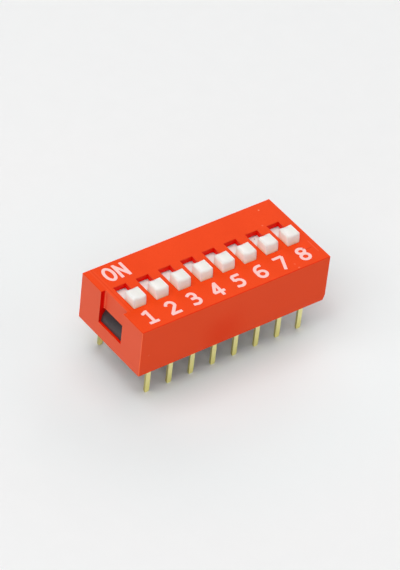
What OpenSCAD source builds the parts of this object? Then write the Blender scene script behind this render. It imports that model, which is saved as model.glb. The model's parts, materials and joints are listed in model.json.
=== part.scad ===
// DIP slide switch: a row of single-pole slide switches in one through-hole package.
// X runs along the row, from position 1 at -X to the last position at +X.
// +Y is the ON side and -Y is the numbered side, where every slider rests (OFF).
// Z is up, with Z = 0 at the tips of the pins. All sizes are in millimetres.

/* [Row] */
// Number of switch positions
positions = 8; // [2:1:12]
// Distance between neighbouring positions
pitch = 2.54; // [2.5:0.01:3]
// Distance between the two rows of pins
row_spacing = 7.62; // [7.5:0.01:8.2]

/* [Cover] */
// Thickness of the cover's top wall
top_wall = 0.6; // [0.4:0.05:0.9]
// Thickness of the cover's long side walls
side_wall = 0.5; // [0.4:0.05:0.8]
// Thickness of the end wall that is left behind the recess
end_web = 0.35; // [0.25:0.01:0.6]
// Radius of the cover's four upright corners
corner_r = 0.08; // [0.05:0.01:0.3]
// Radius of the cover's outer top edges
top_edge_r = 0.08; // [0.04:0.01:0.2]
// Length along Y of the slot that each knob travels in
slot_l = 3.44; // [3:0.02:3.6]
// Width along X of the slot that each knob travels in
slot_w = 1.44; // [1.2:0.02:1.5]
// Depth of the bevel at the foot of the +X end
foot_bevel_in = 0.26; // [0.1:0.01:0.35]
// Height of the bevel at the foot of the +X end
foot_bevel_h = 0.7; // [0.3:0.05:1.2]

/* [End latches] */
// Width along Y of the window in each end, and of the recess in the -X end
recess_w = 3.6; // [2.5:0.05:5]
// Depth of the recess in the -X end
recess_d = 0.5; // [0.35:0.01:0.6]
// Radius of the recess's two inner corners
recess_r = 0.2; // [0.05:0.01:0.25]
// Height of the windows' lower edge above the cover's foot
window_z = 1.62; // [1.2:0.02:1.7]
// Height of the window that the latch barb looks through
window_h = 1.58; // [1.58:0.02:2.2]
// How far each latch barb stands out past the end wall that the recess leaves
barb_stand = 0.24; // [0:0.01:0.3]
// Height of the upright face of the latch barb
barb_land_h = 0.7; // [0.3:0.01:0.8]
// Height of the whole latch barb, with its lead-in ramp
barb_h = 1.5; // [1.2:0.01:1.54]
// How far the upright face of the barb leans in at its top
barb_lean = 0.07; // [0:0.01:0.12]

/* [Base] */
// Thickness of the base's floor
floor_t = 1.95; // [1.6:0.05:2.4]
// Depth of the channels above the floor
channel_d = 2.78; // [2.7:0.01:3.2]
// Thickness of the base's long walls
base_side = 0.405; // [0.3:0.005:0.6]
// Thickness of the base's end walls
base_end = 0.235; // [0.2:0.005:0.5]

/* [Sliders] */
// Height of the knobs above the cover
knob_h = 1.04; // [0.5:0.02:1.5]
// Length along Y of each knob where it leaves the slot
knob_l = 1.6; // [1.3:0.02:1.8]
// How far the knob's numbered side leans in towards its top
knob_near_lean = 0.22; // [0:0.01:0.35]
// How far the knob's ON side leans in towards its top
knob_far_lean = 0.02; // [0:0.01:0.2]
// Radius of the knob's rounded top edges
knob_r = 0.14; // [0.1:0.01:0.25]
// Radius of the knob's upright corners
knob_corner_r = 0.14; // [0.05:0.01:0.2]
// Depth of the dished groove along the top of each knob
dish_d = 0.12; // [0.03:0.01:0.15]
// Thickness of the slider plate under the cover
plate_t = 0.6; // [0.4:0.02:0.8]
// How far the plate reaches under the cover on each side of the slot
plate_side_lap = 0.11; // [0.1:0.01:0.18]
// How far the plate still covers each end of the slot at the end of travel
plate_end_lap = 0.07; // [0.03:0.01:0.12]
// Height of the contact carrier below the plate
carrier_h = 1.06; // [0.9:0.02:1.2]
// Length of the contact carrier along Y
carrier_l = 2.5; // [2.1:0.05:2.8]
// How far each side of the contact carrier stands in from the plate's side
carrier_inset = 0.08; // [0.04:0.01:0.1]
// Depth of the pocket in the carrier that holds the wiper
pocket_d = 0.45; // [0.35:0.01:0.55]

/* [Wipers] */
// Thickness of the wiper's spring strip
wiper_t = 0.12; // [0.08:0.01:0.16]
// Width of the wiper's spring strip
wiper_w = 0.9; // [0.8:0.01:0.94]
// Half of the length of the wiper's flat web
web_half = 0.55; // [0.45:0.01:0.62]
// Distance of each contact foot from the middle of the wiper
foot_y = 1.1; // [0.9:0.01:1.2]
// Outer radius of each curled contact foot
foot_r = 0.25; // [0.2:0.01:0.3]
// Radius of the peg that holds the wiper in the slider
peg_r = 0.2; // [0.15:0.01:0.24]
// How far the staked head spreads past the peg
head_spread = 0.1; // [0.06:0.01:0.14]

/* [Terminals] */
// Length of the pins below the cover's foot
pin_l = 3.6; // [2.5:0.05:5]
// Thickness of the terminals' strip
strip_t = 0.25; // [0.2:0.01:0.3]
// Width of the pins
pin_w = 0.5; // [0.4:0.01:0.6]
// Length of the taper at each pin's tip
tip_l = 0.2; // [0.1:0.01:0.6]
// Share of the pin's width and thickness that is left at its tip
tip_share = 0.8; // [0.3:0.05:0.9]
// Width of the contact pads on the channel floor
pad_w = 1.2; // [1:0.02:1.4]
// Gap between the two pads of one position
pad_gap = 0.9; // [0.7:0.02:1]
// Inner radius of the bend between pad and pin
bend_r = 0.15; // [0.1:0.01:0.2]
// Height of the terminals' wide shoulder above the cover's foot
shoulder_z = 0.6; // [0.4:0.05:0.9]
// Height over which the shoulder narrows to the pin
shoulder_taper = 0.3; // [0.15:0.01:0.35]

/* [Clearances] */
// Gap between the base and the cover's side and end walls
fit_gap = 0.03; // [0.02:0.005:0.06]
// Gap between the base's rim and the cover's ceiling, and under each latch
seat_gap = 0.02; // [0.01:0.005:0.04]
// Gap on each side of a latch barb in its window
latch_gap = 0.05; // [0.03:0.005:0.1]
// Running gap between a slider plate and the cover's ceiling
plate_gap = 0.04; // [0.03:0.005:0.06]
// Running gap on each side of a slider plate in its channel
guide_gap = 0.04; // [0.03:0.005:0.06]
// Running gap on each side of a knob in its slot
knob_gap = 0.02; // [0.015:0.005:0.04]
// Gap between a knob and the end of its slot at the limits of travel
stop_gap = 0.02; // [0.01:0.005:0.04]
// Gap between a terminal and the walls of its pocket in the base
pocket_gap = 0.03; // [0.02:0.005:0.05]
// Running gap between the wiper's feet and the pads
contact_gap = 0.03; // [0.02:0.005:0.05]
// Gap around the wiper in the slider's pocket
wiper_gap = 0.05; // [0.03:0.005:0.07]
// Gap around the peg in the wiper's hole
peg_gap = 0.02; // [0.01:0.005:0.03]

/* [Hidden] */
sides = ["front", "back"];
indices = [1:positions];
$fn = 48;
// Facets of the wide arc that dishes the knobs
dish_fn = 96;
// Overrun of cutting shapes past the faces that they open
over = 0.1;

// Levels, from the pin tips up
foot_z = pin_l;
floor_z = foot_z + floor_t;
rim_z = floor_z + channel_d;
ceiling_z = rim_z + seat_gap;
top_z = ceiling_z + top_wall;
knob_top_z = top_z + knob_h;
plate_top_z = ceiling_z - plate_gap;
plate_z = plate_top_z - plate_t;
carrier_z = plate_z - carrier_h;
pocket_z = carrier_z + pocket_d;

// Sliders: every slider rests with its knob against the numbered end of its slot
travel = slot_l - knob_l - 2 * stop_gap;
rest_y = -travel / 2;
knob_w = slot_w - 2 * knob_gap;
plate_w = slot_w + 2 * plate_side_lap;
plate_l = slot_l + travel + 2 * plate_end_lap;
carrier_w = plate_w - 2 * carrier_inset;
// The wiper sits midway between the pads when its slider is ON
carrier_y = -travel / 2;
wiper_h = pocket_z - floor_z - contact_gap;

// Base
channel_w = plate_w + 2 * guide_gap;
leg_out_y = row_spacing / 2 + strip_t / 2;
channel_half_l = leg_out_y + pocket_gap;
base_l = (positions - 1) * pitch + channel_w + 2 * base_end;
base_w = 2 * (channel_half_l + base_side);

// Cover
cavity_l = base_l + 2 * fit_gap;
cavity_w = base_w + 2 * fit_gap;
cover_l = cavity_l + 2 * (end_web + recess_d);
cover_w = cavity_w + 2 * side_wall;

// Latches
barb_d = fit_gap + end_web + barb_stand;
barb_w = recess_w - 2 * latch_gap;

// Place of position i along X
function position_x(i) = (i - (positions + 1) / 2) * pitch;

// Centre of the rounding of radius r in a corner at p between lines that leave it at angles a and b
function corner_centre(p, a, b, r) =
    let (mid = (a + b) / 2, half = abs(a - b) / 2) p + r / sin(half) * [cos(mid), sin(mid)];

// An upright block centred in plan, from level low to level high
module block(length, width, low, high) {
    translate([-length / 2, -width / 2, low]) cube([length, width, high - low]);
}

// A rectangle centred on the origin, with true round corners
module rounded_rectangle(length, width, r) {
    square([length - 2 * r, width], center = true);
    square([length, width - 2 * r], center = true);
    for (sx = [-1, 1], sy = [-1, 1])
        translate([sx * (length / 2 - r), sy * (width / 2 - r)]) circle(r);
}

// An upright outline from level low to level high, with true round top corners
module round_topped(width, low, high, r) {
    translate([-width / 2, low]) square([width, high - r - low]);
    translate([r - width / 2, low]) square([width - 2 * r, high - low]);
    for (side = [-1, 1]) translate([side * (width / 2 - r), high - r]) circle(r);
}

// Extrudes an outline drawn in Y and Z along X, centred
module extrude_x(width) {
    rotate([90, 0, 90]) linear_extrude(width, center = true) children();
}

// Extrudes an outline drawn in X and Z along Y, centred
module extrude_y(width) {
    rotate([90, 0, 0]) linear_extrude(width, center = true) children();
}

// Moulded cover: open below, with a slot for each knob and a latch window at each end
module cover() {
    color([0.93, 0.25, 0.11]) difference() {
        cover_block();
        block(cavity_l, cavity_w, foot_z - over, ceiling_z);
        for (i = indices)
            translate([position_x(i), 0, 0]) block(slot_w, slot_l, ceiling_z - over, top_z + over);
        for (end = [0, 1]) mirror([end, 0, 0]) latch_window();
        end_recess();
        foot_bevel();
    }
}

// Outer shape of the cover: outlines from above, from the side and from the end in common
module cover_block() {
    intersection() {
        translate([0, 0, foot_z]) linear_extrude(top_z - foot_z + over)
            rounded_rectangle(cover_l, cover_w, corner_r);
        extrude_x(cover_l + 2 * over) round_topped(cover_w, foot_z - over, top_z, top_edge_r);
        extrude_y(cover_w + 2 * over) round_topped(cover_l, foot_z - over, top_z, top_edge_r);
    }
}

// Recess in the -X end, from the window's lower edge up through the top edge
module end_recess() {
    translate([-cover_l / 2, 0, foot_z + window_z]) linear_extrude(top_z - foot_z)
        rounded_rectangle(2 * recess_d, recess_w, recess_r);
}

// Window through the +X end wall for the latch barb
module latch_window() {
    translate([cavity_l / 2 - over, -recess_w / 2, foot_z + window_z])
        cube([end_web + recess_d + 2 * over, recess_w, window_h]);
}

// Bevel along the foot of the +X end
module foot_bevel() {
    translate([cover_l / 2, 0, foot_z]) extrude_y(cover_w + 2 * over) polygon([
        [-foot_bevel_in, 0],
        [-foot_bevel_in, -over],
        [over, -over],
        [over, foot_bevel_h],
        [0, foot_bevel_h],
    ]);
}

// Moulded base: a floor that carries the terminals, with an open channel for each slider
module base() {
    color([0.16, 0.16, 0.17]) {
        difference() {
            block(base_l, base_w, foot_z, rim_z);
            for (i = indices) translate([position_x(i), 0, 0]) {
                block(channel_w, 2 * channel_half_l, floor_z, rim_z + over);
                for (side = [0, 1]) mirror([0, side, 0]) terminal_pocket();
            }
        }
        for (end = [0, 1]) mirror([end, 0, 0]) latch_barb();
    }
}

// Space for one terminal at +Y: pad, bend, shoulder and pin, dropped in from above
module terminal_pocket() {
    pad_half = pad_w / 2 + pocket_gap;
    pin_half = pin_w / 2 + pocket_gap;
    leg_in_y = row_spacing / 2 - strip_t / 2;
    translate([-pad_half, pad_gap / 2 - pocket_gap, floor_z - strip_t])
        cube([2 * pad_half, channel_half_l - pad_gap / 2 + pocket_gap, strip_t + over]);
    translate([-pad_half, leg_in_y - bend_r, floor_z - strip_t - bend_r])
        cube([2 * pad_half, channel_half_l - leg_in_y + bend_r, bend_r + strip_t + over]);
    translate([-pad_half, leg_in_y - pocket_gap, foot_z + shoulder_z])
        cube([2 * pad_half, strip_t + 2 * pocket_gap, floor_t - shoulder_z]);
    translate([-pin_half, leg_in_y - pocket_gap, foot_z - over])
        cube([2 * pin_half, strip_t + 2 * pocket_gap, shoulder_z + 2 * over]);
}

// Snap barb on the +X end of the base, with a flat catch below and a lead-in ramp above
module latch_barb() {
    translate([base_l / 2, 0, foot_z + window_z + seat_gap]) extrude_y(barb_w)
        polygon([[-over, 0], [barb_d, 0], [barb_d - barb_lean, barb_land_h], [0, barb_h], [-over, barb_h]]);
}

// Slider i at rest: knob, plate under the cover, and contact carrier with its staked peg
module slider(i) {
    color([0.94, 0.93, 0.91]) translate([position_x(i), rest_y, 0]) {
        knob();
        block(plate_w, plate_l, plate_z, plate_top_z);
        translate([0, carrier_y, 0]) carrier();
    }
}

// Knob: what its outlines from the side, from the end and from above have in common
module knob() {
    intersection() {
        extrude_x(knob_w + 2 * over) knob_side_outline();
        extrude_y(knob_l + 2 * over) knob_end_outline();
        translate([0, 0, plate_z]) linear_extrude(knob_top_z - plate_z + over)
            rounded_rectangle(knob_w, knob_l, knob_corner_r);
    }
}

// Knob seen along X, with sides that lean in above the cover and round top corners
module knob_side_outline() {
    near_slope = atan2(knob_h, knob_near_lean);
    far_slope = atan2(knob_h, -knob_far_lean);
    near = corner_centre([-knob_l / 2 + knob_near_lean, knob_top_z], near_slope - 180, 0, knob_r);
    far = corner_centre([knob_l / 2 - knob_far_lean, knob_top_z], -180, far_slope - 180, knob_r);
    polygon([
        [-knob_l / 2, plate_top_z - over],
        [-knob_l / 2, top_z],
        near + knob_r * [-sin(near_slope), cos(near_slope)],
        [near.x, knob_top_z],
        [far.x, knob_top_z],
        far + knob_r * [sin(far_slope), -cos(far_slope)],
        [knob_l / 2, top_z],
        [knob_l / 2, plate_top_z - over],
    ]);
    translate(near) circle(knob_r);
    translate(far) circle(knob_r);
}

// Knob seen along Y, with round top corners and a dished top between them
module knob_end_outline() {
    lip_x = knob_w / 2 - knob_r;
    dish_r = (lip_x ^ 2 + dish_d ^ 2) / (2 * dish_d);
    difference() {
        round_topped(knob_w, plate_top_z - over, knob_top_z, knob_r);
        translate([0, knob_top_z - dish_d + dish_r]) circle(dish_r, $fn = dish_fn);
    }
}

// Carrier block below the plate, with the wiper's pocket and the peg that holds it
module carrier() {
    difference() {
        block(carrier_w, carrier_l, carrier_z, plate_z + over);
        block(wiper_w + 2 * wiper_gap, 2 * (web_half + foot_r + wiper_gap), carrier_z - over, pocket_z);
    }
    translate([0, 0, pocket_z - wiper_t - over]) cylinder(r = peg_r, h = wiper_t + 2 * over);
    translate([0, 0, pocket_z - 2 * wiper_t]) cylinder(r = peg_r + head_spread, h = wiper_t);
}

// Wiper i at rest: a spring strip whose two curled feet bridge the pads when the slider is ON
module wiper(i) {
    color([0.83, 0.71, 0.36]) translate([position_x(i), rest_y + carrier_y, pocket_z]) difference() {
        extrude_x(wiper_w) for (side = [0, 1]) mirror([side, 0]) wiper_half();
        translate([0, 0, -wiper_t - over]) cylinder(r = peg_r + peg_gap, h = wiper_t + 2 * over);
    }
}

// One half of the wiper's outline in Y and Z, below the pocket's roof
module wiper_half() {
    mid = wiper_t / 2;
    foot_in = [foot_y - foot_r + mid, foot_r - wiper_h];
    translate([-over, -wiper_t]) square([web_half + over, wiper_t]);
    strip([web_half, -mid], foot_in, wiper_t);
    difference() {
        translate([foot_y, foot_r - wiper_h]) circle(foot_r);
        translate([foot_y, foot_r - wiper_h]) circle(foot_r - wiper_t);
        translate([foot_y - 2 * foot_r, foot_r - wiper_h]) square([4 * foot_r, 2 * foot_r]);
    }
    translate([foot_y + foot_r - mid, foot_r - wiper_h]) circle(mid);
}

// A straight piece of strip from a to b with round ends
module strip(a, b, t) {
    translate(a) rotate(atan2(b.y - a.y, b.x - a.x)) translate([0, -t / 2]) square([norm(b - a), t]);
    translate(a) circle(t / 2);
    translate(b) circle(t / 2);
}

// Terminal i: a stamped strip with a contact pad on the channel floor and a pin below
module terminal(i, side) {
    color([0.84, 0.75, 0.42]) translate([position_x(i), 0, 0])
        mirror([0, side == "front" ? 1 : 0, 0]) intersection() {
            extrude_x(pad_w) terminal_side_outline();
            translate([0, row_spacing / 4, 0]) extrude_y(row_spacing) terminal_front_outline();
        }
}

// Terminal seen along X, at +Y: pad, quarter-round bend and tapered pin
module terminal_side_outline() {
    bend_out_r = bend_r + strip_t;
    bend_y = leg_out_y - bend_out_r;
    bend_z = floor_z - bend_out_r;
    translate([pad_gap / 2, floor_z - strip_t]) square([bend_y - pad_gap / 2, strip_t]);
    intersection() {
        translate([bend_y, bend_z]) difference() {
            circle(bend_out_r);
            circle(bend_r);
        }
        translate([bend_y, bend_z]) square(2 * bend_out_r);
    }
    translate([leg_out_y - strip_t, tip_l]) square([strip_t, bend_z - tip_l]);
    translate([row_spacing / 2, 0]) pin_tip(strip_t);
}

// Terminal seen along Y: wide at the pad and shoulder, narrow at the pin
module terminal_front_outline() {
    narrow_z = foot_z + shoulder_z;
    shoulder_top_z = narrow_z + shoulder_taper;
    polygon([
        [-pin_w / 2, tip_l],
        [pin_w / 2, tip_l],
        [pin_w / 2, narrow_z],
        [pad_w / 2, shoulder_top_z],
        [pad_w / 2, floor_z],
        [-pad_w / 2, floor_z],
        [-pad_w / 2, shoulder_top_z],
        [-pin_w / 2, narrow_z],
    ]);
    pin_tip(pin_w);
}

// Tapered tip of a pin that is size wide above the taper
module pin_tip(size) {
    tip = size * tip_share;
    polygon([[-tip / 2, 0], [tip / 2, 0], [size / 2, tip_l], [-size / 2, tip_l]]);
}

cover();
base();
for (i = indices) {
    slider(i);
    wiper(i);
    for (side = sides)
        terminal(i, side);
}
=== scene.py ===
import json
import math

import bpy
import numpy as np
from mathutils import Matrix, Vector


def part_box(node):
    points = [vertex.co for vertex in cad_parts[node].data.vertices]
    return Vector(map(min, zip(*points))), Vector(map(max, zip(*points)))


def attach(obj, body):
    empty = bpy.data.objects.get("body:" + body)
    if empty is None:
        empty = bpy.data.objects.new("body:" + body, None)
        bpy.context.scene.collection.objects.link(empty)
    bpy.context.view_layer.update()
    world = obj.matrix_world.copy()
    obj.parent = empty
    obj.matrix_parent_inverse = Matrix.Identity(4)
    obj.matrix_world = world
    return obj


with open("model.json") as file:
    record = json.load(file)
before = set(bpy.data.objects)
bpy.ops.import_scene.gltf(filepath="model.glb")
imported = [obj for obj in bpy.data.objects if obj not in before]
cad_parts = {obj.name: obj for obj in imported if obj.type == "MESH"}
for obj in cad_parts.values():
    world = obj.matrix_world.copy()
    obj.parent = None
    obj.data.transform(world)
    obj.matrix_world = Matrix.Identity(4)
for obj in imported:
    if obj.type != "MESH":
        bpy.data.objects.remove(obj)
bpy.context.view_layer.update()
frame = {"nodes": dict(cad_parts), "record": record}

# The looks of a DIP switch: its camera, lights and materials, the print on its cover, and the floor.
# Lengths are in millimetres and angles in degrees, except where a comment says otherwise.

MM = 0.001
nodes = frame["nodes"]
scene = bpy.context.scene

# The cover's top and foot, and how far its ends stand from the middle
TOP_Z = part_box("cover")[1].z / MM
FOOT_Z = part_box("cover")[0].z / MM
COVER_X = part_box("cover")[1].x / MM


def outward(azimuth, elevation):
    """The direction at that azimuth (0 is -Y, 90 is +X) and elevation."""
    a, e = math.radians(azimuth), math.radians(elevation)
    return Vector((math.sin(a) * math.cos(e), -math.cos(a) * math.cos(e), math.sin(e)))


# ---------------------------------------------------------------- camera

AZIMUTH, ELEVATION, ROLL = -40.16, 40.66, 6.65
# From the middle of the cover's foot, and across and up the picture from there
DISTANCE, ACROSS, UP = 342.83, -0.23, 2.11
# Focal length and picture height, in pixels of the photograph
FOCAL_PX, FRAME_PX = 3623.99, 570
SENSOR = 36
# The nearest and farthest distance that it sees, in metres
CLIP = (0.01, 10)


def make_camera():
    back = outward(AZIMUTH, ELEVATION)
    level = Vector((0, 0, 1)).cross(back).normalized()
    upright = back.cross(level)
    roll = math.radians(ROLL)
    right = level * math.cos(roll) + upright * math.sin(roll)
    up = upright * math.cos(roll) - level * math.sin(roll)
    place = back * DISTANCE + right * ACROSS + up * UP + Vector((0, 0, FOOT_Z))
    data = bpy.data.cameras.new("camera")
    data.sensor_width = SENSOR
    data.lens = FOCAL_PX * SENSOR / FRAME_PX
    data.clip_start, data.clip_end = CLIP
    camera = bpy.data.objects.new("camera", data)
    camera.matrix_world = Matrix((
        (right.x, up.x, back.x, place.x * MM),
        (right.y, up.y, back.y, place.y * MM),
        (right.z, up.z, back.z, place.z * MM),
        (0, 0, 0, 1),
    ))
    scene.collection.objects.link(camera)
    scene.camera = camera


make_camera()
scene.view_settings.view_transform = "Standard"

# ---------------------------------------------------------------- light

# Soft boxes round the part: azimuth, elevation and power in watts
SOFT_BOXES = {
    "left_high": (-100, 55, 1.56),
    "overhead": (0, 90, 1.32),
    "right_low": (110, 25, 0.97),
    "back_right_low": (150, 25, 0.96),
    "front_low": (-40, 25, 0.75),
    "front_right_low": (45, 25, 0.71),
    "front_high": (-40, 55, 0.50),
    "front_left_low": (-70, 25, 0.22),
}
# Their distance from the part and their size, in metres
BOX_DISTANCE, BOX_SIZE = 0.6, 0.5


def dark_world():
    world = bpy.data.worlds.new("studio")
    world.use_nodes = True
    world.node_tree.nodes["Background"].inputs["Strength"].default_value = 0
    scene.world = world


def soft_box(name, azimuth, elevation, power):
    """A square lamp aimed at the part."""
    direction = outward(azimuth, elevation)
    data = bpy.data.lights.new(name, "AREA")
    data.shape, data.size, data.energy = "SQUARE", BOX_SIZE, power
    lamp = bpy.data.objects.new(name, data)
    lamp.location = direction * BOX_DISTANCE + Vector((0, 0, FOOT_Z * MM))
    lamp.rotation_mode = "QUATERNION"
    lamp.rotation_quaternion = direction.to_track_quat("Z", "Y")
    scene.collection.objects.link(lamp)


dark_world()
for name, (azimuth, elevation, power) in SOFT_BOXES.items():
    soft_box(name, azimuth, elevation, power)

# ---------------------------------------------------------------- node trees

# The colour sockets of a Mix node: two inputs and the output
MIX_A, MIX_B, MIX_OUT = 6, 7, 2
# Noise seldom leaves this range
NOISE_LOW, NOISE_HIGH = 0.3, 0.7
# How squarely a surface faces an axis where a flat face begins, and where it is all face
FACE_LOW, FACE_HIGH = 0.8, 0.95
# The product of how squarely it faces two axes, at the rim of a rounded edge and well inside it
EDGE_LOW, EDGE_HIGH = 0.1, 0.35
BEVEL_SAMPLES = 8


class Nodes:
    """A short way to write a material's node tree."""

    def __init__(self, name):
        self.material = bpy.data.materials.new(name)
        self.material.use_nodes = True
        self.tree = self.material.node_tree
        self.shader = self.tree.nodes["Principled BSDF"]
        coordinates = self.add("TexCoord")
        self.place = coordinates.outputs["Object"]
        self.normal = coordinates.outputs["Normal"]

    def add(self, kind):
        return self.tree.nodes.new("ShaderNode" + kind)

    def link(self, source, socket):
        self.tree.links.new(source, socket)

    def feed(self, socket, value):
        """Gives a socket a colour, a number or another node's output."""
        if isinstance(value, tuple):
            socket.default_value = (*value, 1)
        elif isinstance(value, (int, float)):
            socket.default_value = value
        else:
            self.link(value, socket)

    def set(self, **values):
        """Values that are the same all over the surface."""
        for name, value in values.items():
            self.shader.inputs[name.replace("_", " ")].default_value = value

    def paint(self, colour, roughness):
        """Colour and roughness that vary over the surface."""
        self.link(colour, self.shader.inputs["Base Color"])
        self.link(roughness, self.shader.inputs["Roughness"])

    def math(self, operation, a, b=0.0):
        node = self.add("Math")
        node.operation = operation
        for socket, value in zip(node.inputs, (a, b)):
            self.feed(socket, value)
        return node.outputs[0]

    def times(self, a, b):
        return self.math("MULTIPLY", a, b)

    def mix(self, share, a, b):
        """Colour a where share is 0 and colour b where it is 1."""
        node = self.add("Mix")
        node.data_type = "RGBA"
        self.link(share, node.inputs["Factor"])
        self.feed(node.inputs[MIX_A], a)
        self.feed(node.inputs[MIX_B], b)
        return node.outputs[MIX_OUT]

    def span(self, value, low, high, out_low, out_high, way="LINEAR"):
        """value from low to high becomes out_low to out_high, clamped."""
        node = self.add("MapRange")
        node.interpolation_type = way
        self.link(value, node.inputs["Value"])
        for name, number in (
            ("From Min", low), ("From Max", high), ("To Min", out_low), ("To Max", out_high),
        ):
            node.inputs[name].default_value = number
        return node.outputs["Result"]

    def noise(self, per_mm, detail=2.0, roughness=0.5, place=None):
        """Noise with that many features to the millimetre, 0 to 1."""
        node = self.add("TexNoise")
        node.inputs["Scale"].default_value = per_mm / MM
        node.inputs["Detail"].default_value = detail
        node.inputs["Roughness"].default_value = roughness
        self.link(place or self.place, node.inputs["Vector"])
        return node.outputs["Fac"]

    def spread(self, noise, out_low, out_high):
        """Noise spread over that range."""
        return self.span(noise, NOISE_LOW, NOISE_HIGH, out_low, out_high)

    def stretched(self, x, y, z):
        """The coordinates scaled along each axis."""
        node = self.add("Mapping")
        node.inputs["Scale"].default_value = (x, y, z)
        self.link(self.place, node.inputs["Vector"])
        return node.outputs["Vector"]

    def along(self, vector, axis):
        """What a vector measures along X, Y or Z."""
        split = self.add("SeparateXYZ")
        self.link(vector, split.inputs[0])
        return split.outputs[axis]

    def place_mm(self, axis):
        """Where the surface lies along that axis of the part, in millimetres."""
        return self.math("DIVIDE", self.along(self.place, axis), MM)

    def facing(self, axis):
        """1 where the surface faces along that axis of the part, either way, and 0 across it."""
        return self.math("ABSOLUTE", self.along(self.normal, axis))

    def face(self, axis, share):
        """That share on the flat faces along an axis, and 0 elsewhere."""
        return self.span(self.facing(axis), FACE_LOW, FACE_HIGH, 0, share)

    def edge(self, one, other):
        """1 on the rounded edges between the faces along those two axes."""
        turn = self.times(self.facing(one), self.facing(other))
        return self.span(turn, EDGE_LOW, EDGE_HIGH, 0, 1)

    def hollow(self, reach_mm, least, most):
        """0 on open faces and 1 deep in slots and recesses no wider than that reach."""
        node = self.add("AmbientOcclusion")
        node.inputs["Distance"].default_value = reach_mm * MM
        return self.span(node.outputs["AO"], least, most, 1, 0)

    def band(self, value, middle, half, soft):
        """1 where value is within half of middle, fading to 0 over soft."""
        off = self.math("ABSOLUTE", self.math("SUBTRACT", value, middle))
        return self.span(off, half, half + soft, 1, 0, "SMOOTHSTEP")

    def patch(self, axes, a, b, half_a, half_b, soft):
        """1 on a patch about the place a, b along those two axes, with soft edges."""
        across = self.band(self.place_mm(axes[0]), a, half_a, soft)
        return self.times(across, self.band(self.place_mm(axes[1]), b, half_b, soft))

    def marked(self, colour, toward, axes, marks):
        """colour with small marks, painted highlights and painted shade over the faces that look in
        that direction.
        """
        turned = self.add("VectorMath")
        turned.operation = "DOT_PRODUCT"
        self.link(self.normal, turned.inputs[0])
        turned.inputs[1].default_value = toward
        face = self.span(turned.outputs["Value"], FACE_LOW, FACE_HIGH, 0, 1)
        for share, tint, *place in marks:
            mark = self.times(self.patch(axes, *place), face)
            colour = self.mix(self.times(mark, share), colour, tint)
        return colour

    def bump(self, height, depth_mm, soft_mm=0.0):
        """Relief of that depth where height runs from 0 to 1, on edges shaded that soft."""
        node = self.add("Bump")
        if soft_mm:
            soft = self.add("Bevel")
            soft.samples = BEVEL_SAMPLES
            soft.inputs["Radius"].default_value = soft_mm * MM
            self.link(soft.outputs["Normal"], node.inputs["Normal"])
        node.inputs["Distance"].default_value = depth_mm * MM
        self.link(height, node.inputs["Height"])
        self.link(node.outputs["Normal"], self.shader.inputs["Normal"])


# ---------------------------------------------------------------- marks, a painted highlight and painted shade

PALE, DEEP, SOOT = (0.97, 0.38, 0.22), (0.45, 0.02, 0.005), (0.16, 0.10, 0.09)
FRONT_SHADE_RED = (0.82, 0.038, 0.001)
UPWARD, FORWARD = (0, 0, 1), (0, -1, 0)

# Each mark: its strength, tint, place along two axes, half sizes along them, and soft edge
TOP_MARKS_AND_HIGHLIGHT = [
    # Specks
    (0.7, PALE, 8.95, 4.00, 0.03, 0.03, 0.08),
    (0.3, PALE, 7.90, 1.98, 0.03, 0.03, 0.10),
    (0.3, PALE, 7.28, -4.68, 0.05, 0.03, 0.10),
    (0.15, PALE, 7.22, -4.08, 0.03, 0.05, 0.10),
    # A scratch across the 8, and a faint line beside it
    (0.5, DEEP, 9.75, -2.90, 0.30, 0.01, 0.06),
    (0.12, PALE, 10.33, -2.85, 0.01, 0.85, 0.08),
    # Faint lines along the end that has the recess
    (0.05, PALE, -10.18, 1.40, 0.01, 3.20, 0.12),
    (0.10, DEEP, -10.02, 1.40, 0.01, 3.20, 0.10),
    (0.04, PALE, -9.86, 1.40, 0.01, 3.20, 0.12),
    # A painted highlight along the top edge of the recess's back wall
    (0.10, PALE, -10.33, 0.00, 0.01, 1.70, 0.06),
]
# A patch of painted shade, deeper red low on the front, and a speck
FRONT_SHADE_AND_MARKS = [
    (0.6, FRONT_SHADE_RED, -1.3, FOOT_Z + 1.3, 0.2, 0.1, 3.2),
    (0.14, PALE, -9.90, FOOT_Z + 2.2, 0.04, 0.04, 0.10),
]
# A dark speck on the plate of slider 7
SLIDER_MARKS = [(0.8, SOOT, 6.55, 1.33, 0.02, 0.02, 0.07)]
# Dots where the ink of the 8 has worn through
INK_MARKS = [
    (0.8, DEEP, 9.11, -2.39, 0.03, 0.02, 0.09),
    (0.9, DEEP, 9.22, -2.71, 0.03, 0.02, 0.09),
    (0.8, DEEP, 9.40, -2.63, 0.02, 0.03, 0.09),
]

# ---------------------------------------------------------------- materials

COVER_REDS = ((0.85, 0.058, 0.005), (0.89, 0.066, 0.007))
GRAIN_RED = (0.80, 0.048, 0.004)
# Paler reds painted on the ends and on the sides as painted reflection, their sheen
END_SHEEN_RED, SIDE_SHEEN_RED = (0.86, 0.132, 0.064), (0.85, 0.076, 0.019)
SLOT_SHADE_RED, RECESS_SHADE_RED = (0.84, 0.007, 0.0), (0.70, 0.003, 0.0)
TOP_EDGE_SHADE_RED, UPRIGHT_EDGE_HIGHLIGHT_RED = (0.86, 0.024, 0.002), (0.98, 0.17, 0.07)
# The end recess, with room to spare: its depth from the -X end and half its width
RECESS_DEPTH, RECESS_HALF = 0.6, 2


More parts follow.
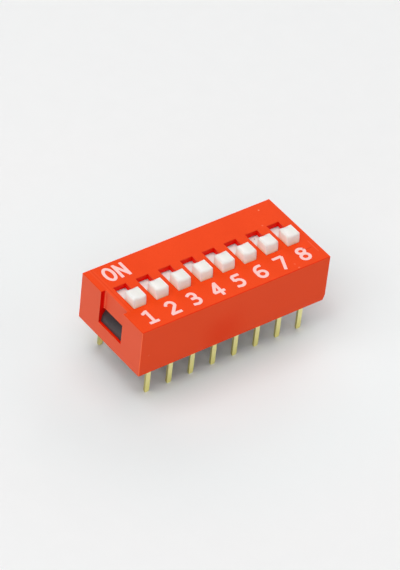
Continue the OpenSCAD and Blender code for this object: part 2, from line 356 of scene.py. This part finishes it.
def cover_plastic():
    n = Nodes("cover_plastic")
    grain = n.noise(per_mm=9, detail=3)
    colour = n.mix(n.spread(n.noise(per_mm=0.25, detail=3), 0, 1), *COVER_REDS)
    colour = n.mix(n.span(grain, 0.35, 0.75, 0, 0.35), colour, GRAIN_RED)
    # Painted reflection: the ends and the sides get paler reds that stand in for their sheen
    colour = n.mix(n.face("X", share=0.8), colour, END_SHEEN_RED)
    colour = n.mix(n.face("Y", share=0.8), colour, SIDE_SHEEN_RED)
    # Painted shade: light that bounces about inside the slots and windows deepens their red, painted
    # here through an occlusion mask
    below_top = n.span(n.place_mm("Z"), TOP_Z - 0.10, TOP_Z - 0.02, 1, 0)
    deep = n.times(n.hollow(reach_mm=1.2, least=0.55, most=0.85), below_top)
    colour = n.mix(deep, colour, SLOT_SHADE_RED)
    # The long top edges turn a purer red as painted shade, and the upright ones paler as a painted
    # highlight
    colour = n.mix(n.edge("Y", "Z"), colour, TOP_EDGE_SHADE_RED)
    colour = n.mix(n.edge("X", "Y"), colour, UPRIGHT_EDGE_HIGHLIGHT_RED)
    # Painted shade: the side walls of the end recess turn a deep red
    bottom = RECESS_DEPTH - COVER_X
    recess = n.span(n.place_mm("X"), bottom, bottom + 0.1, 1, 0)
    recess = n.times(recess, n.band(n.place_mm("Y"), 0, RECESS_HALF, 0.1))
    recess = n.times(recess, n.span(n.facing("Y"), 0.4, 0.9, 0, 1))
    colour = n.mix(recess, colour, RECESS_SHADE_RED)
    colour = n.marked(colour, UPWARD, "XY", TOP_MARKS_AND_HIGHLIGHT)
    colour = n.marked(colour, FORWARD, "XZ", FRONT_SHADE_AND_MARKS)
    n.paint(colour, n.spread(grain, 0.42, 0.52))
    # Fine grain on slow waves that are three times as deep
    fine = n.noise(per_mm=14, detail=4, roughness=0.6)
    waves = n.times(n.noise(per_mm=1.1, detail=2), 3.0)
    n.bump(n.math("ADD", fine, waves), depth_mm=0.0012)
    n.set(IOR=1.5, Specular_IOR_Level=0.07)
    return n.material


# Painted light on the sliders: duller whites for the knobs' tops, lighter whites low in the slots
# and on the sides, and cream at the feet of the sides
DIMMED_TOP_WHITES = ((0.81, 0.805, 0.77), (0.84, 0.835, 0.80))
SLOT_LIT_WHITE, SIDE_LIT_WHITE, FOOT_WARM_LIGHT_CREAM = (0.87, 0.94, 0.87), (0.93, 1.0, 0.88), (1.0, 0.90, 0.68)


def slider_plastic():
    n = Nodes("slider_plastic")
    z = n.place_mm("Z")
    # Painted light: the knobs' tops are painted a shade duller than what stays low in the slots,
    # which is painted lighter against its shade; noise varies the tops' tone
    dimmed_top = n.mix(n.spread(n.noise(per_mm=0.8, detail=3), 0, 1), *DIMMED_TOP_WHITES)
    colour = n.mix(n.span(z, TOP_Z - 0.2, TOP_Z + 0.9, 0, 1), SLOT_LIT_WHITE, dimmed_top)
    # Painted light: the knobs' sides along X are painted lighter
    colour = n.mix(n.span(n.facing("X"), 0.5, FACE_HIGH, 0, 0.9), colour, SIDE_LIT_WHITE)
    # Painted warm light: the knobs' sides turn creamy down at the cover
    low = n.span(z, TOP_Z + 0.05, TOP_Z + 0.4, 0.9, 0)
    side = n.span(n.facing("Z"), 0.3, 0.7, 1, 0)
    colour = n.mix(n.times(low, side), colour, FOOT_WARM_LIGHT_CREAM)
    colour = n.marked(colour, UPWARD, "XY", SLIDER_MARKS)
    n.paint(colour, n.spread(n.noise(per_mm=6, detail=2), 0.3, 0.42))
    n.bump(n.noise(per_mm=5, detail=3), depth_mm=0.002, soft_mm=0.4)
    n.set(IOR=1.48)
    n.set(Subsurface_Weight=1.0, Subsurface_Scale=0.6 * MM, Subsurface_Radius=(1.0, 0.97, 0.93))
    return n.material


BLACKS = ((0.035, 0.0245, 0.027), (0.048, 0.034, 0.037))


def base_plastic():
    n = Nodes("base_plastic")
    colour = n.mix(n.spread(n.noise(per_mm=3, detail=3), 0, 1), *BLACKS)
    n.paint(colour, n.spread(n.noise(per_mm=8, detail=2), 0.32, 0.45))
    n.bump(n.noise(per_mm=12, detail=3), depth_mm=0.002)
    n.set(IOR=1.5)
    return n.material


# Lighter gold and the darker gold painted as shade towards the feet, and its roughness
PIN_GOLD = ((1.0, 1.0, 0.55), (0.96, 0.88, 0.30))
CONTACT_GOLD = ((0.80, 0.66, 0.32), (0.72, 0.57, 0.25))
GOLD_ROUGHNESS = 0.3
# Scale of the strip's drawing marks along the pins, where they run long
DRAWN_SCALE = 0.06
# Height at which the pins have their darker colour, the painted shade towards the floor
PIN_SHADE_Z = 0.6


def gold(name, light, dark):
    """Thin gold plating over stamped strip, with painted shade: darker down its length and on its
    cut sides.
    """
    n = Nodes(name)
    drawn = n.noise(per_mm=5, detail=2, place=n.stretched(1, 1, DRAWN_SCALE))
    cloud = n.spread(n.noise(per_mm=1.2, detail=3), -0.1, 0.1)
    # Painted shade: the gold darkens down towards the feet
    down = n.math("ADD", n.span(n.place_mm("Z"), PIN_SHADE_Z, FOOT_Z, 1, 0), cloud)
    colour = n.mix(n.span(down, 0, 1, 0, 1), light, dark)
    # Painted shade on the cut sides along X
    cut = tuple(0.5 * c for c in dark)
    colour = n.mix(n.span(n.facing("X"), 0.5, FACE_HIGH, 0, 0.8), colour, cut)
    n.paint(colour, n.spread(drawn, GOLD_ROUGHNESS - 0.02, GOLD_ROUGHNESS + 0.03))
    n.bump(drawn, depth_mm=0.0003)
    n.set(Metallic=0.3)
    return n.material


THICK_INK, THIN_INK = (0.95, 0.59, 0.56), (0.92, 0.42, 0.37)


def legend_ink():
    n = Nodes("legend_ink")
    speckle = n.noise(per_mm=16, detail=3, roughness=0.6)
    colour = n.mix(n.span(speckle, 0.52, 0.72, 0, 0.6), THICK_INK, THIN_INK)
    n.paint(n.marked(colour, UPWARD, "XY", INK_MARKS), n.spread(speckle, 0.5, 0.62))
    n.bump(speckle, depth_mm=0.002)
    return n.material


PAPERS = ((0.85, 0.854, 0.854), (0.87, 0.874, 0.874))
COOL_PAPER = (0.828, 0.872, 0.875)
# How far from the middle of the part the cool tint starts to fade, and where it ends
COOL_FULL, COOL_NONE = 13, 30


def floor_paper():
    n = Nodes("floor_paper")
    # A cooler tint near the part offsets the red light that the cover throws on the paper
    x, y = n.place_mm("X"), n.place_mm("Y")
    away = n.math("SQRT", n.math("ADD", n.times(x, x), n.times(y, y)))
    near = n.span(away, COOL_FULL, COOL_NONE, 1, 0, "SMOOTHSTEP")
    paper = n.mix(n.noise(per_mm=0.4, detail=3), *PAPERS)
    colour = n.mix(near, paper, COOL_PAPER)
    n.link(colour, n.shader.inputs["Base Color"])
    n.set(Roughness=0.9)
    return n.material


LOOKS = {
    "cover_plastic": cover_plastic(),
    "base_plastic": base_plastic(),
    "slider_plastic": slider_plastic(),
    "contact_gold": gold("contact_gold", *CONTACT_GOLD),
    "pin_gold": gold("pin_gold", *PIN_GOLD),
}
INK = legend_ink()

# ---------------------------------------------------------------- CAD nodes

SLOT_OF = {s["node"]: s["material_slot"] for s in frame["record"]["subparts"]}
# Edges that turn by more than this stay crisp, and the rest are shaded as one round surface
CRISP = math.radians(32)
# Corners nearer than this are one, in metres
WELD = 1e-7


def rounded_shading():
    """Nodes that shade a CAD mesh smooth, except across its crisp edges."""
    group = bpy.data.node_groups.new("rounded_shading", "GeometryNodeTree")
    for way in ("INPUT", "OUTPUT"):
        group.interface.new_socket("Geometry", in_out=way, socket_type="NodeSocketGeometry")
    add = group.nodes.new
    start, end = add("NodeGroupInput"), add("NodeGroupOutput")
    angle, crisp = add("GeometryNodeInputMeshEdgeAngle"), add("FunctionNodeCompare")
    crisp.operation = "GREATER_THAN"
    crisp.inputs["B"].default_value = CRISP
    faces, edges = add("GeometryNodeSetShadeSmooth"), add("GeometryNodeSetShadeSmooth")
    edges.domain = "EDGE"
    edges.inputs["Shade Smooth"].default_value = False
    for source, socket in (
        (start.outputs["Geometry"], faces.inputs["Geometry"]),
        (faces.outputs["Geometry"], edges.inputs["Geometry"]),
        (angle.outputs["Unsigned Angle"], crisp.inputs["A"]),
        (crisp.outputs["Result"], edges.inputs["Selection"]),
        (edges.outputs["Geometry"], end.inputs["Geometry"]),
    ):
        group.links.new(source, socket)
    return group


SHADING = rounded_shading()


def finish_edges(node):
    """Clean normals on a CAD node: flats stay flat and its modelled rounds turn smoothly."""
    node.modifiers.new("weld", "WELD").merge_threshold = WELD
    node.modifiers.new("shading", "NODES").node_group = SHADING
    normals = node.modifiers.new("normals", "WEIGHTED_NORMAL")
    normals.keep_sharp = True
    normals.weight = 100


for name, node in nodes.items():
    for slot in node.material_slots:
        slot.material = LOOKS[SLOT_OF[name]]
    finish_edges(node)

# ---------------------------------------------------------------- print on the cover

# Half the pen's width, the soft corners of its square ends, and the ink's thickness
STROKE, CORNER, INK_T = 0.16, 0.06, 0.012
# How far the ink sinks into the cover
INK_SUNK = 0.001
# The grid that the outlines are drawn on, and how far it reaches from a character's middle
GRID, REACH_X, REACH_Y = 0.025, 0.95, 1.25
# How far an open end runs on before it is cut square
OVERRUN = 1.0
# Ends nearer than this close a stroke
CLOSED = 1e-9


def arc(x, y, rx, ry, start, end, steps=20):
    """Points round an ellipse, in degrees anticlockwise from +X."""
    angles = [math.radians(start + (end - start) * k / steps) for k in range(steps + 1)]
    return [(x + rx * math.cos(a), y + ry * math.sin(a)) for a in angles]


# Each character as pen strokes about its own middle
CHARACTERS = {
    "O": [arc(0, 0, 0.46, 0.815, 0, 360, 40)],
    "N": [
        [(-0.425, -0.96), (-0.425, 0.96)],
        [(-0.425, 0.80), (0.425, -0.80)],
        [(0.425, -0.96), (0.425, 0.96)],
    ],
    "1": [
        [(-0.51, 0.60), (-0.38, 0.62), (0.03, 0.80)],
        [(0.03, 0.95), (0.03, -0.78)],
        [(-0.54, -0.77), (0.54, -0.77)],
    ],
    "2": [
        [(-0.45, 0.42), *arc(0.0, 0.33, 0.43, 0.46, 150, -20), (-0.40, -0.70), (-0.42, -0.77)],
        [(-0.58, -0.77), (0.60, -0.77)],
    ],
    "3": [
        [(-0.50, 0.56), *arc(-0.05, 0.40, 0.36, 0.37, 120, -70), (-0.30, 0.06)],
        [(-0.30, 0.04), (0.0, 0.04), *arc(0.0, -0.36, 0.43, 0.40, 80, -110), (-0.52, -0.66)],
    ],
    "4": [
        [(0.17, 0.95), (0.17, -0.95)],
        [(-0.62, -0.36), (0.62, -0.36)],
        [(-0.56, -0.36), (0.10, 0.78)],
    ],
    "5": [
        [(0.52, 0.76), (-0.33, 0.76)],
        [(-0.33, 0.76), (-0.36, 0.06)],
        [(-0.36, 0.10), *arc(-0.06, -0.30, 0.45, 0.45, 110, -110), (-0.56, -0.66)],
    ],
    "6": [
        arc(0.0, -0.36, 0.45, 0.42, 0, 360, 30),
        [(0.50, 0.74), (0.20, 0.76), *arc(0.12, 0.10, 0.56, 0.64, 100, 175), (-0.45, -0.36)],
    ],
    "7": [
        [(-0.60, 0.79), (0.45, 0.79)],
        [(0.45, 0.79), (0.13, 0.0), (-0.25, -0.95)],
    ],
    "8": [
        arc(0.0, 0.45, 0.40, 0.35, 0, 360, 30),
        arc(0.0, -0.37, 0.45, 0.40, 0, 360, 30),
    ],
}
# Where the characters' middles lie on the cover, unevenly as in the photograph
ON_X, ON_Y = (-8.83, -7.47), 3.42
DIGIT_X, DIGIT_Y = (-8.96, -6.44, -3.93, -1.27, 1.17, 3.73, 6.29, 8.79), -3.33


def stretch_distance(x, y, a, b, open_a, open_b):
    """Signed distance to a straight stretch of the pen, cut square where an end is open."""
    length = math.dist(a, b)
    ux, uy = (b[0] - a[0]) / length, (b[1] - a[1]) / length
    along = (x - a[0]) * ux + (y - a[1]) * uy
    across = (y - a[1]) * ux - (x - a[0]) * uy
    low = -OVERRUN if open_a else 0.0
    high = length + OVERRUN if open_b else length
    past = np.where(along < low, low - along, np.maximum(along - high, 0))
    distance = np.hypot(past, across) - STROKE
    cuts = ([-along] if open_a else []) + ([along - length] if open_b else [])
    for cut in cuts:
        p, q = distance + CORNER, cut + CORNER
        corner = np.hypot(np.maximum(p, 0), np.maximum(q, 0))
        distance = np.minimum(np.maximum(p, q), 0) + corner - CORNER
    return distance


def stroke_distance(x, y, stroke):
    """Signed distance to one pen stroke."""
    is_open = math.dist(stroke[0], stroke[-1]) > CLOSED
    last = len(stroke) - 2
    return np.min([
        stretch_distance(x, y, a, b, is_open and k == 0, is_open and k == last)
        for k, (a, b) in enumerate(zip(stroke, stroke[1:]))
    ], axis=0)


def outlines(field, x0, y0):
    """Closed outlines where a gridded field crosses zero, by marching squares."""
    inside = field < 0
    places, follows = {}, {}

    def crossing(p, q):
        """Where the field is zero between two neighbours on the grid."""
        t = field[p] / (field[p] - field[q])
        row, column = p[0] + t * (q[0] - p[0]), p[1] + t * (q[1] - p[1])
        return x0 + column * GRID, y0 + row * GRID

    count = inside[:-1, :-1].astype(int) + inside[:-1, 1:] + inside[1:, 1:] + inside[1:, :-1]
    for i, j in zip(*np.nonzero((count > 0) & (count < 4))):
        ring = [(i, j), (i, j + 1), (i + 1, j + 1), (i + 1, j)]
        leave, enter = [], []
        for k in range(4):
            p, q = ring[k], ring[(k + 1) % 4]
            if inside[p] != inside[q]:
                side = tuple(sorted((p, q)))
                places[side] = crossing(*side)
                (leave if inside[p] else enter).append((k, side))
        for k, side in leave:
            follows[side] = min(enter, key=lambda item: (item[0] - k) % 4)[1]

    loops = []
    while follows:
        loop, side = [], next(iter(follows))
        while side in follows:
            loop.append(places[side])
            side = follows.pop(side)
        loops.append(loop)
    return loops


def character_loops(character, place_x, place_y):
    """The outlines of one character, with its middle at that place."""
    x, y = np.meshgrid(
        np.arange(-REACH_X, REACH_X + GRID, GRID), np.arange(-REACH_Y, REACH_Y + GRID, GRID)
    )
    field = np.min([stroke_distance(x, y, stroke) for stroke in CHARACTERS[character]], axis=0)
    loops = outlines(field, -REACH_X, -REACH_Y)
    return [[(px + place_x, py + place_y) for px, py in loop] for loop in loops]


def flat_mesh(name, loops):
    """A mesh as thick as the ink, inside those outlines."""
    curve = bpy.data.curves.new(name, "CURVE")
    curve.dimensions = "2D"
    curve.fill_mode = "BOTH"
    curve.extrude = INK_T / 2 * MM
    for loop in loops:
        spline = curve.splines.new("POLY")
        spline.points.add(len(loop) - 1)
        for point, (x, y) in zip(spline.points, loop):
            point.co = (x * MM, y * MM, 0, 1)
        spline.use_cyclic_u = True
    filled = bpy.data.objects.new(name + "_curve", curve)
    scene.collection.objects.link(filled)
    bpy.context.view_layer.update()
    mesh = bpy.data.meshes.new_from_object(filled)
    bpy.data.objects.remove(filled)
    mesh.name = name
    mesh.materials.clear()
    mesh.materials.append(INK)
    return mesh


def printed(name, characters):
    """One flat printed piece: characters is a list of (character, x, y) on the cover's top."""
    loops = [loop for character in characters for loop in character_loops(*character)]
    piece = bpy.data.objects.new(name, flat_mesh(name, loops))
    piece.location.z = (TOP_Z + INK_T / 2 - INK_SUNK) * MM
    scene.collection.objects.link(piece)
    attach(piece, "housing")


printed("print_on", [(letter, x, ON_Y) for letter, x in zip("ON", ON_X)])
for i, x in enumerate(DIGIT_X, 1):
    printed(f"print_{i}", [(str(i), x, DIGIT_Y)])

# ---------------------------------------------------------------- floor

# Metres
FLOOR_SIZE = 3

bpy.ops.mesh.primitive_grid_add(x_subdivisions=4, y_subdivisions=4, size=FLOOR_SIZE)
floor = bpy.context.object
floor.name = "floor"
floor.data.materials.append(floor_paper())
